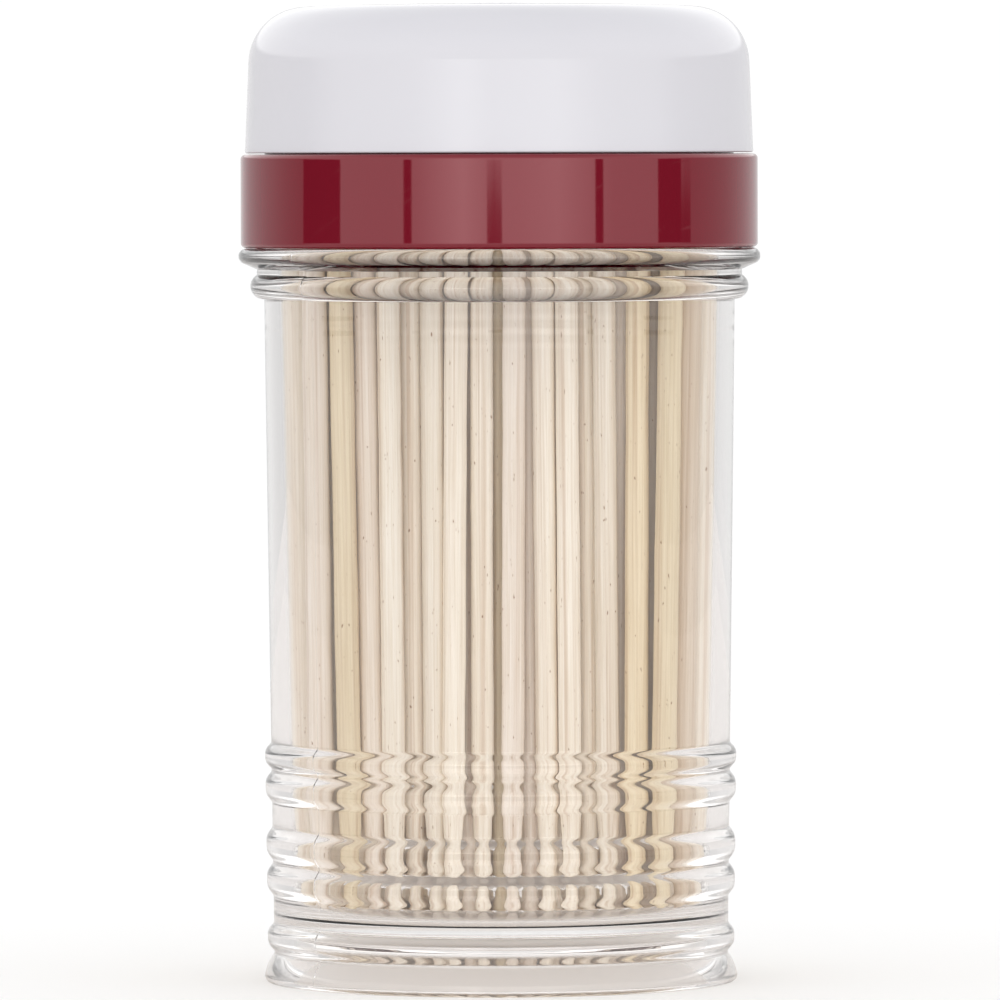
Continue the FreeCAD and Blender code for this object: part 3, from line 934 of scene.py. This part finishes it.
class DISPENSER_OT_make_cap(bpy.types.Operator):
    """Makes the domed white cap with its outlet, bead and stop peg"""

    bl_idname = "dispenser.make_cap"
    bl_label = "Make Cap"

    def execute(self, context):
        size, finish = context.scene.dispenser_cap, context.scene.dispenser_finishes
        dome = Dome(size)
        mesh = turned_mesh("white_cap", cap_outline(size, dome), even_angles(ROUND_STEPS))
        finish_mesh(mesh)
        white = shared_material(
            "glossy white plastic",
            glossy_plastic,
            rgb=finish.cap,
            roughness=finish.gloss,
            cloud_tint=0.98,
            gloss_tint=(1.0, 1.0, 1.0),
            gloss_level=0.5,
        )
        cap = new_piece("white_cap", mesh, white)
        floor_gap = 0.15 * MM
        peg_reach = size.gap + context.scene.dispenser_collar.stop_groove_depth - floor_gap
        cut_or_join(cap, stop_peg(size, dome, peg_reach), "UNION")
        cut_or_join(cap, outlet_cutter(size, dome), "DIFFERENCE")
        weigh_normals(cap)
        place(cap, "cap", "white_plastic", "twist_cap")
        return {"FINISHED"}


# --- Toothpicks ----------------------------------------------------------------------------------------

FRONT_SIDES, BACK_SIDES = 24, 16  # sides of a toothpick in the front rows, and of one behind them
THICKNESS_SPREAD = (0.985, 1.015)  # how much thickness differs in the front rows
TAPER_SPREAD = (0.9, 1.1)  # how much the taper's length differs
OVAL = 0.02  # how far from round a toothpick may be
WAVES, WAVE_PITCHES = 5, (250, 1900)  # waves in a toothpick's side, and how fine they are, in radians a metre


def pick_outline(size, thickness, taper_low, taper_high):
    """A toothpick's section: blunt tips, slightly bulged tapers and a round body."""
    radius, tip = thickness / 2, size.tip
    edge_share, edge, blunt = 0.7, 0.05 * MM, 0.22 * MM
    bulge, taper_steps, body_steps = 0.68, 8, 14

    def end(taper):
        points = [(0.0, 0.0), (tip * edge_share, edge), (tip, blunt)]
        for number in range(1, taper_steps + 1):
            along = number / taper_steps
            points.append((tip + (radius - tip) * along**bulge, blunt + (taper - blunt) * along))
        return points

    body = size.length - taper_low - taper_high
    middle = [(radius, taper_low + body * number / body_steps) for number in range(1, body_steps)]
    head = [(across, size.length - height) for across, height in reversed(end(taper_high))]
    return end(taper_low) + middle + head


def pick_rows(size):
    """Where the toothpicks stand: rows from wall to wall, front row first, as (x, y) points."""
    rows, depth = [], -size.front
    while depth < size.wall_orbit:
        half = math.sqrt(size.wall_orbit**2 - depth**2)
        gaps = max(1, int(2 * half / size.spacing))
        rows.append([(half * (2 * number / gaps - 1), depth) for number in range(gaps + 1)])
        depth += size.spacing
    return rows


def split_rows(size):
    """The rows whose toothpicks are a piece each, and the rows behind them, which are one piece each."""
    rows = pick_rows(size)
    front = len(rows) - len(PICK_ROWS)
    return rows[:front], rows[front:]


# How the toothpicks of the two front rows lean: foot and head to the right, foot and head forwards, in
# millimetres from the toothpick's place. Then the wood's tone and its brightness.
LEANS = (
    (0.45, 0.80, 0.45, 0.45, "rose", 0.95),
    (0.40, 0.36, 0.95, 0.95, "straw", 0.95),
    (-0.05, -0.20, 0.10, 0.10, "rose", 0.98),
    (-0.65, -0.64, 0.90, 0.90, "cream", 0.97),
    (0.38, 0.48, 0.00, 0.00, "cream", 0.97),
    (-0.53, 0.24, 1.20, 0.60, "cream", 1.04),
    (-0.34, -0.22, 0.40, 0.40, "cream", 1.02),
    (-0.19, 0.07, 0.70, 0.70, "rose", 1.00),
    (0.50, -0.23, 0.20, 0.20, "cream", 1.03),
    (0.10, -0.70, 0.80, 0.80, "cream", 1.04),
    (0.88, -0.14, 0.30, 0.30, "cream", 0.98),
    (0.73, 0.30, 0.60, 0.60, "straw", 1.06),
    (0.44, 0.56, 1.20, 1.20, "straw", 0.98),
    (-0.40, -0.30, 0.00, 0.00, "tan", 1.00),
    (0.00, 0.00, 0.00, 0.00, "cream", 1.00),
    (-0.11, -0.13, 0.80, 0.80, "cream", 1.00),
    (-0.08, -0.08, 0.60, 0.75, "cream", 1.00),
    (-0.11, -0.08, 0.80, 1.15, "rose", 1.00),
    (-0.33, -0.20, 1.15, 1.20, "cream", 1.03),
    (0.00, -0.05, 0.35, 0.50, "cream", 1.00),
    (-0.37, 0.34, 1.00, 0.90, "rose", 0.98),
    (0.00, 0.00, 1.05, 1.15, "straw", 0.85),
    (0.31, -0.14, 0.95, 0.95, "rose", 0.98),
    (0.00, 0.05, 0.40, 1.10, "cream", 1.00),
    (0.67, -0.25, 1.15, 1.20, "cream", 1.04),
    (0.73, 0.43, 0.60, 1.15, "rose", 0.95),
    (0.87, 0.69, 1.00, 1.20, "tan", 0.78),
    (0.42, 0.45, 0.30, 0.30, "cream", 1.00),
    (0.00, 0.00, 0.00, 0.00, "cream", 1.04),
)


def make_pick(size, dice, row, number, base, draft, sides, tone, lean=None):
    """One toothpick in its place, with its tone and its grain. The dice bend, size and tilt it a little."""
    x, y = row[number]
    pitch = row[1][0] - row[0][0]
    if lean:
        thickness = size.thickness * dice.uniform(*THICKNESS_SPREAD)
        foot_x, head_x, foot_y, head_y = [step * MM for step in lean]
    else:
        thickness = pitch * dice.uniform(size.loosest, size.tightest)
        slack = (pitch - thickness) / 2
        leftmost, rightmost = -slack * (number > 0), slack * (number < len(row) - 1)
        foot_x, head_x = [dice.uniform(leftmost, rightmost) for _ in range(2)]
        foot_y = head_y = 0.0
    tapers = [size.taper * dice.uniform(*TAPER_SPREAD) for _ in range(2)]
    mesh = turned_mesh("pick", pick_outline(size, thickness, *tapers), even_angles(sides))
    bow, bow_way = dice.uniform(0.0, size.bow), dice.uniform(0.0, 2 * math.pi)
    oval, oval_way = dice.uniform(0.0, OVAL), dice.uniform(0.0, math.pi)
    waves = [(dice.uniform(*WAVE_PITCHES), dice.uniform(0, 7), dice.uniform(0, 7)) for _ in range(WAVES)]
    grain_at = Vector((dice.uniform(0, 1), dice.uniform(0, 1), dice.uniform(0, 1)))
    grain_twist = Matrix.Rotation(dice.uniform(0, 2 * math.pi), 3, "Z")
    tilt = draft * math.hypot(x, y) / size.wall_orbit
    stand = (
        Matrix.Rotation(math.atan2(y, x), 4, "Z")
        @ Matrix.Translation((math.hypot(x, y), 0.0, base + size.stand + dice.uniform(0.0, size.lift)))
        @ Matrix.Rotation(tilt, 4, "Y")
    )
    tones = mesh.attributes.new("tone", "FLOAT_COLOR", "POINT")
    grains = mesh.attributes.new("grain", "FLOAT_VECTOR", "POINT")
    for vertex in mesh.vertices:
        co = vertex.co
        tones.data[vertex.index].color = (*tone, 1.0)
        grains.data[vertex.index].vector = grain_twist @ co + grain_at
        way = math.atan2(co.y, co.x)
        along = co.z / size.length
        uneven = sum(math.sin(wave * co.z + turn + math.sin(way + start)) for wave, turn, start in waves)
        full = min(1.0, co.xy.length / (thickness / 2))
        grow = 1.0 - oval * math.cos(2 * (way - oval_way)) + full * uneven * size.rough / thickness
        co.x, co.y = co.x * grow, co.y * grow
        bend = bow * math.sin(math.pi * along)
        co.x, co.y = co.x + bend * math.cos(bow_way), co.y + bend * math.sin(bow_way)
        vertex.co = stand @ co
        vertex.co.x += foot_x * (1 - along) + head_x * along
        vertex.co.y -= foot_y * (1 - along) + head_y * along
    return mesh


def dice_tone(dice, finish):
    """A tone of wood between the four that the finishes name."""
    kind = dice.choices([finish.cream, finish.straw, finish.rose, finish.tan], weights=[48, 18, 26, 8])[0]
    other = dice.choice([finish.cream, finish.rose, finish.straw])
    part, value = dice.uniform(0.0, 0.35), dice.uniform(0.94, 1.05)
    return [min(1.0, (a * (1 - part) + b * part) * value) for a, b in zip(kind, other)]


def join_meshes(name, meshes):
    """One mesh from several, with their values kept."""
    work = bmesh.new()
    for mesh in meshes:
        work.from_mesh(mesh)
    joined = bpy.data.meshes.new(name)
    work.to_mesh(joined)
    work.free()
    for mesh in meshes:
        bpy.data.meshes.remove(mesh)
    return joined


def place_picks(name, meshes, node):
    """Makes one piece of some toothpicks, in the place of their node."""
    mesh = join_meshes(name, meshes)
    finish_mesh(mesh, crease_degrees=50.0)
    piece = new_piece(name, mesh, shared_material("turned birch", birch))
    place(piece, "filled_jar", "birch", node)


class DISPENSER_OT_make_front_picks(bpy.types.Operator):
    """Makes the toothpicks of the front rows, one piece each"""

    bl_idname = "dispenser.make_front_picks"
    bl_label = "Make Front Toothpicks"

    def execute(self, context):
        size, jar = context.scene.dispenser_picks, context.scene.dispenser_jar
        dice = random.Random(size.seed)
        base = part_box(FRONT_PICKS[0])[0].z
        front_rows, _ = split_rows(size)
        places = [(row, number) for row in front_rows for number in range(len(row))]
        for node, (row, number), (*lean, wood, value) in zip(FRONT_PICKS, places, LEANS, strict=True):
            tone = [channel * value for channel in getattr(context.scene.dispenser_finishes, wood)]
            mesh = make_pick(size, dice, row, number, base, jar.cavity_draft, FRONT_SIDES, tone, lean)
            place_picks(node.replace("toothpick", "pick"), [mesh], node)
        return {"FINISHED"}


class DISPENSER_OT_make_back_picks(bpy.types.Operator):
    """Makes the rows of toothpicks behind the front ones, one piece for each row"""

    bl_idname = "dispenser.make_back_picks"
    bl_label = "Make Back Toothpicks"

    def execute(self, context):
        size, jar = context.scene.dispenser_picks, context.scene.dispenser_jar
        dice = random.Random(size.seed + 1)
        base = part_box(FRONT_PICKS[0])[0].z
        _, back_rows = split_rows(size)
        for node, row in zip(PICK_ROWS, back_rows, strict=True):
            meshes = []
            for number in range(len(row)):
                tone = dice_tone(dice, context.scene.dispenser_finishes)
                meshes.append(make_pick(size, dice, row, number, base, jar.cavity_draft, BACK_SIDES, tone))
            place_picks(node.replace("toothpicks", "picks"), meshes, node)
        return {"FINISHED"}


# --- Stage ---------------------------------------------------------------------------------------------


def pale_floor(name):
    """Plain pale studio floor. Reflections and light through the jar show it a little duller."""
    material, tree, shader, _ = new_material(name)
    where = tree.nodes.new("ShaderNodeTexCoord").outputs["Object"]
    bright = ramp(tree, (-400, 0), noise(tree, (-600, 0), where, 3.0, 2.0), [(0.0, 0.95), (1.0, 0.96)])
    seen = tree.nodes.new("ShaderNodeLightPath").outputs["Is Camera Ray"]
    tree.links.new(mix(tree, (-200, 0), seen, (0.81, 0.785, 0.77, 1.0), bright), shader.inputs["Base Color"])
    shader.inputs["Roughness"].default_value = 0.9
    shader.inputs["Specular IOR Level"].default_value = 0.1
    return material


def dark_gap_group():
    """How much of a dark upright gap between two light panels lies in a direction, for the studio light."""
    group, given, out = new_group(
        "Dark gap",
        [
            ("Way", FLOAT, 0.0),
            ("Rise", FLOAT, 0.0),
            ("Left", FLOAT, 0.0),
            ("Right", FLOAT, 1.0),
            ("Top", FLOAT, 1.0),
            ("Taper", FLOAT, 0.1),
        ],
        [("Mask", FLOAT)],
    )
    edge = add(group, "ShaderNodeCombineXYZ", (-900, -300), X=given["Left"], Z=given["Rise"]).outputs[0]
    wave = noise(group, (-700, -300), edge, 9.0, 2.0)
    waver = 1.2
    way = maths(group, "SUBTRACT", (-600, 0), given["Way"], waver)
    way = maths(group, "MULTIPLY_ADD", (-500, 0), wave, 2 * waver, way)
    middle = maths(group, "ADD", (-600, 200), given["Left"], given["Right"])
    middle = maths(group, "MULTIPLY", (-500, 200), middle, 0.5)
    half = maths(group, "SUBTRACT", (-350, 200), given["Right"], middle)
    below = maths(group, "SUBTRACT", (-500, -150), given["Top"], given["Rise"])
    narrow = maths(group, "DIVIDE", (-350, -150), below, given["Taper"], clamp=True)
    half = maths(group, "MULTIPLY", (-200, 100), half, narrow)
    beside = maths(group, "ABSOLUTE", (-200, -50), maths(group, "SUBTRACT", (-350, -50), way, middle))
    inside = maths(group, "SUBTRACT", (0, 0), half, beside)
    mask = maths(group, "MULTIPLY_ADD", (150, 0), inside, 3.0, 0.5, clamp=True)
    low = maths(group, "MULTIPLY_ADD", (0, -200), given["Rise"], 2.0, 2.6, clamp=True)
    group.links.new(maths(group, "MULTIPLY", (300, 0), mask, low), out["Mask"])
    return group


# Brightness all round the dispenser: degrees from the camera to the right, brightness there
SURROUNDINGS = (
    (-180, 0.88), (-166, 0.88), (-150, 0.74), (-120, 0.70), (-98, 0.55), (-78, 1.35), (-45, 1.45), (-36, 1.7),
    (-16, 2.95), (-4, 2.15), (8, 2.25), (26, 2.65), (44, 1.8), (52, 1.5), (76, 1.3), (92, 0.6), (120, 0.64),
    (150, 0.82), (180, 0.84),
)
# Dark gaps in it, in degrees: left edge, right edge, height of the top, height over which the top narrows
DARK_GAPS = (
    (-97.5, -75.0, 1.5, 0.01), (-43.0, -39.2, 1.5, 0.01), (-5.4, 1.2, -0.07, 0.09), (43.2, 47.0, 1.5, 0.01),
    (75.0, 88.5, 1.5, 0.01), (88.0, 94.5, -0.13, 0.02),
)
BRIGHTEST = 3.0  # what a white stop of the ramp stands for
LOW_FADE = (-0.3, -3.0)  # degrees of height between which the panels give way to the low light
ZENITH_FADE = (25.0, 65.0)  # and the ceiling to the zenith


def studio_light(studio):
    """Soft white surroundings: bright panels beside the camera with dark gaps between them, and a ceiling."""
    world = bpy.data.worlds.new("studio")
    world.use_nodes = True
    bpy.context.scene.world = world
    tree = world.node_tree
    background = next(node for node in tree.nodes if node.type == "BACKGROUND")
    where = tree.nodes.new("ShaderNodeTexCoord").outputs["Generated"]
    x, y, z = add(tree, "ShaderNodeSeparateXYZ", (-1400, 0), Vector=where).outputs
    way = maths(tree, "ARCTAN2", (-1200, 100), x, maths(tree, "MULTIPLY", (-1300, 0), y, -1.0))
    way = maths(tree, "MULTIPLY", (-1050, 100), way, 180 / math.pi)
    rise = maths(tree, "MULTIPLY", (-1050, -100), maths(tree, "ARCSINE", (-1200, -100), z), 180 / math.pi)
    stops = [(degrees / 360 + 0.5, brightness / BRIGHTEST) for degrees, brightness in SURROUNDINGS]
    level = ramp(tree, (-700, 300), maths(tree, "MULTIPLY_ADD", (-850, 300), way, 1 / 360, 0.5), stops)
    level = maths(tree, "MULTIPLY", (-500, 300), level, BRIGHTEST)
    gaps = 0.0
    for number, (left, right, top, taper) in enumerate(DARK_GAPS):
        down = -200 * number
        edges = {"Left": left, "Right": right, "Top": top, "Taper": taper}
        gap = placed_group(tree, (-700, down), "Dark gap", dark_gap_group, Way=way, Rise=rise, **edges)
        gaps = maths(tree, "MAXIMUM", (-500, down), gap.outputs["Mask"], gaps)

    def fade(place_at, level, other, start, end):
        """From one brightness to another between two heights, in degrees."""
        slope, beside = 1 / (end - start), (place_at[0] - 200, place_at[1])
        part = maths(tree, "MULTIPLY_ADD", beside, rise, slope, -start * slope, clamp=True)
        return mix(tree, place_at, part, level, other, kind="FLOAT")

    panel_top = math.degrees(studio.panel_top)
    level = mix(tree, (-300, 200), gaps, level, studio.gap, kind="FLOAT")
    low = maths(tree, "MINIMUM", (-300, 350), level, studio.low)
    level = fade((-200, 350), level, low, *LOW_FADE)
    level = fade((-150, 200), level, studio.ceiling, panel_top - 1, panel_top + 1)
    level = fade((0, 200), level, studio.zenith, *ZENITH_FADE)
    seen = tree.nodes.new("ShaderNodeLightPath").outputs["Is Camera Ray"]
    level = mix(tree, (150, 200), seen, level, studio.backdrop, kind="FLOAT")
    tree.links.new(level, background.inputs["Color"])


class DISPENSER_OT_make_stage(bpy.types.Operator):
    """Makes the pale floor, the studio light and the camera"""

    bl_idname = "dispenser.make_stage"
    bl_label = "Make Stage"

    def execute(self, context):
        studio = context.scene.dispenser_studio
        floor_mesh = bpy.data.meshes.new("floor")
        reach = studio.floor_reach
        corners = [(-reach, -reach, 0.0), (reach, -reach, 0.0), (reach, reach, 0.0), (-reach, reach, 0.0)]
        floor_mesh.from_pydata(corners, [], [(0, 1, 2, 3)])
        floor = new_piece("floor", floor_mesh, shared_material("pale floor", pale_floor))
        studio_light(studio)
        camera_data = bpy.data.cameras.new("camera")
        camera_data.angle = 2 * math.atan(studio.view_width / 2 / studio.distance)
        camera_data.clip_start, camera_data.clip_end = 0.01, 500.0
        camera = bpy.data.objects.new("camera", camera_data)
        context.scene.collection.objects.link(camera)
        camera.location = (0.0, -studio.distance, studio.height)
        look = Vector((0.0, 0.0, studio.aim)) - camera.location
        turn = look.to_track_quat("-Z", "Y") @ Matrix.Rotation(studio.roll, 3, "Z").to_quaternion()
        camera.rotation_euler = turn.to_euler()
        context.scene.camera = camera
        context.scene.view_settings.view_transform = "Standard"
        light_paths = context.scene.cycles
        light_paths.max_bounces = light_paths.transmission_bounces = light_paths.transparent_max_bounces = 24
        light_paths.glossy_bounces = 12
        light_paths.diffuse_bounces = 8
        return {"FINISHED"}


# --- Sidebar panel and start ---------------------------------------------------------------------------

GROUPS = {
    "dispenser_jar": JarSizes,
    "dispenser_collar": CollarSizes,
    "dispenser_cap": CapSizes,
    "dispenser_picks": PickSizes,
    "dispenser_finishes": Finishes,
    "dispenser_studio": StudioSettings,
}
OPERATORS = (
    DISPENSER_OT_make_jar,
    DISPENSER_OT_make_collar,
    DISPENSER_OT_make_cap,
    DISPENSER_OT_make_front_picks,
    DISPENSER_OT_make_back_picks,
    DISPENSER_OT_make_stage,
)


class DISPENSER_PT_panel(bpy.types.Panel):
    """Sizes, finishes and pieces of the dispenser"""

    bl_label = "Toothpick Dispenser"
    bl_space_type = "VIEW_3D"
    bl_region_type = "UI"
    bl_category = "Dispenser"

    def draw(self, context):
        for name, group in GROUPS.items():
            box = self.layout.box()
            box.label(text=name.replace("dispenser_", "").title())
            for prop in group.__annotations__:
                box.prop(getattr(context.scene, name), prop)
        for operator in OPERATORS:
            self.layout.operator(operator.bl_idname)


def register():
    """Adds the classes and the scene's settings."""
    for group in GROUPS.values():
        bpy.utils.register_class(group)
    for operator in OPERATORS:
        bpy.utils.register_class(operator)
    bpy.utils.register_class(DISPENSER_PT_panel)
    for name, group in GROUPS.items():
        setattr(bpy.types.Scene, name, bpy.props.PointerProperty(type=group))


def unregister():
    """Takes the classes and the settings away again."""
    for name in GROUPS:
        delattr(bpy.types.Scene, name)
    bpy.utils.unregister_class(DISPENSER_PT_panel)
    for operator in reversed(OPERATORS):
        bpy.utils.unregister_class(operator)
    for group in reversed(list(GROUPS.values())):
        bpy.utils.unregister_class(group)


def main():
    """Builds every piece and the stage."""
    register()
    bpy.ops.dispenser.make_jar()
    bpy.ops.dispenser.make_collar()
    bpy.ops.dispenser.make_cap()
    bpy.ops.dispenser.make_front_picks()
    bpy.ops.dispenser.make_back_picks()
    bpy.ops.dispenser.make_stage()


if __name__ == "__main__":
    main()
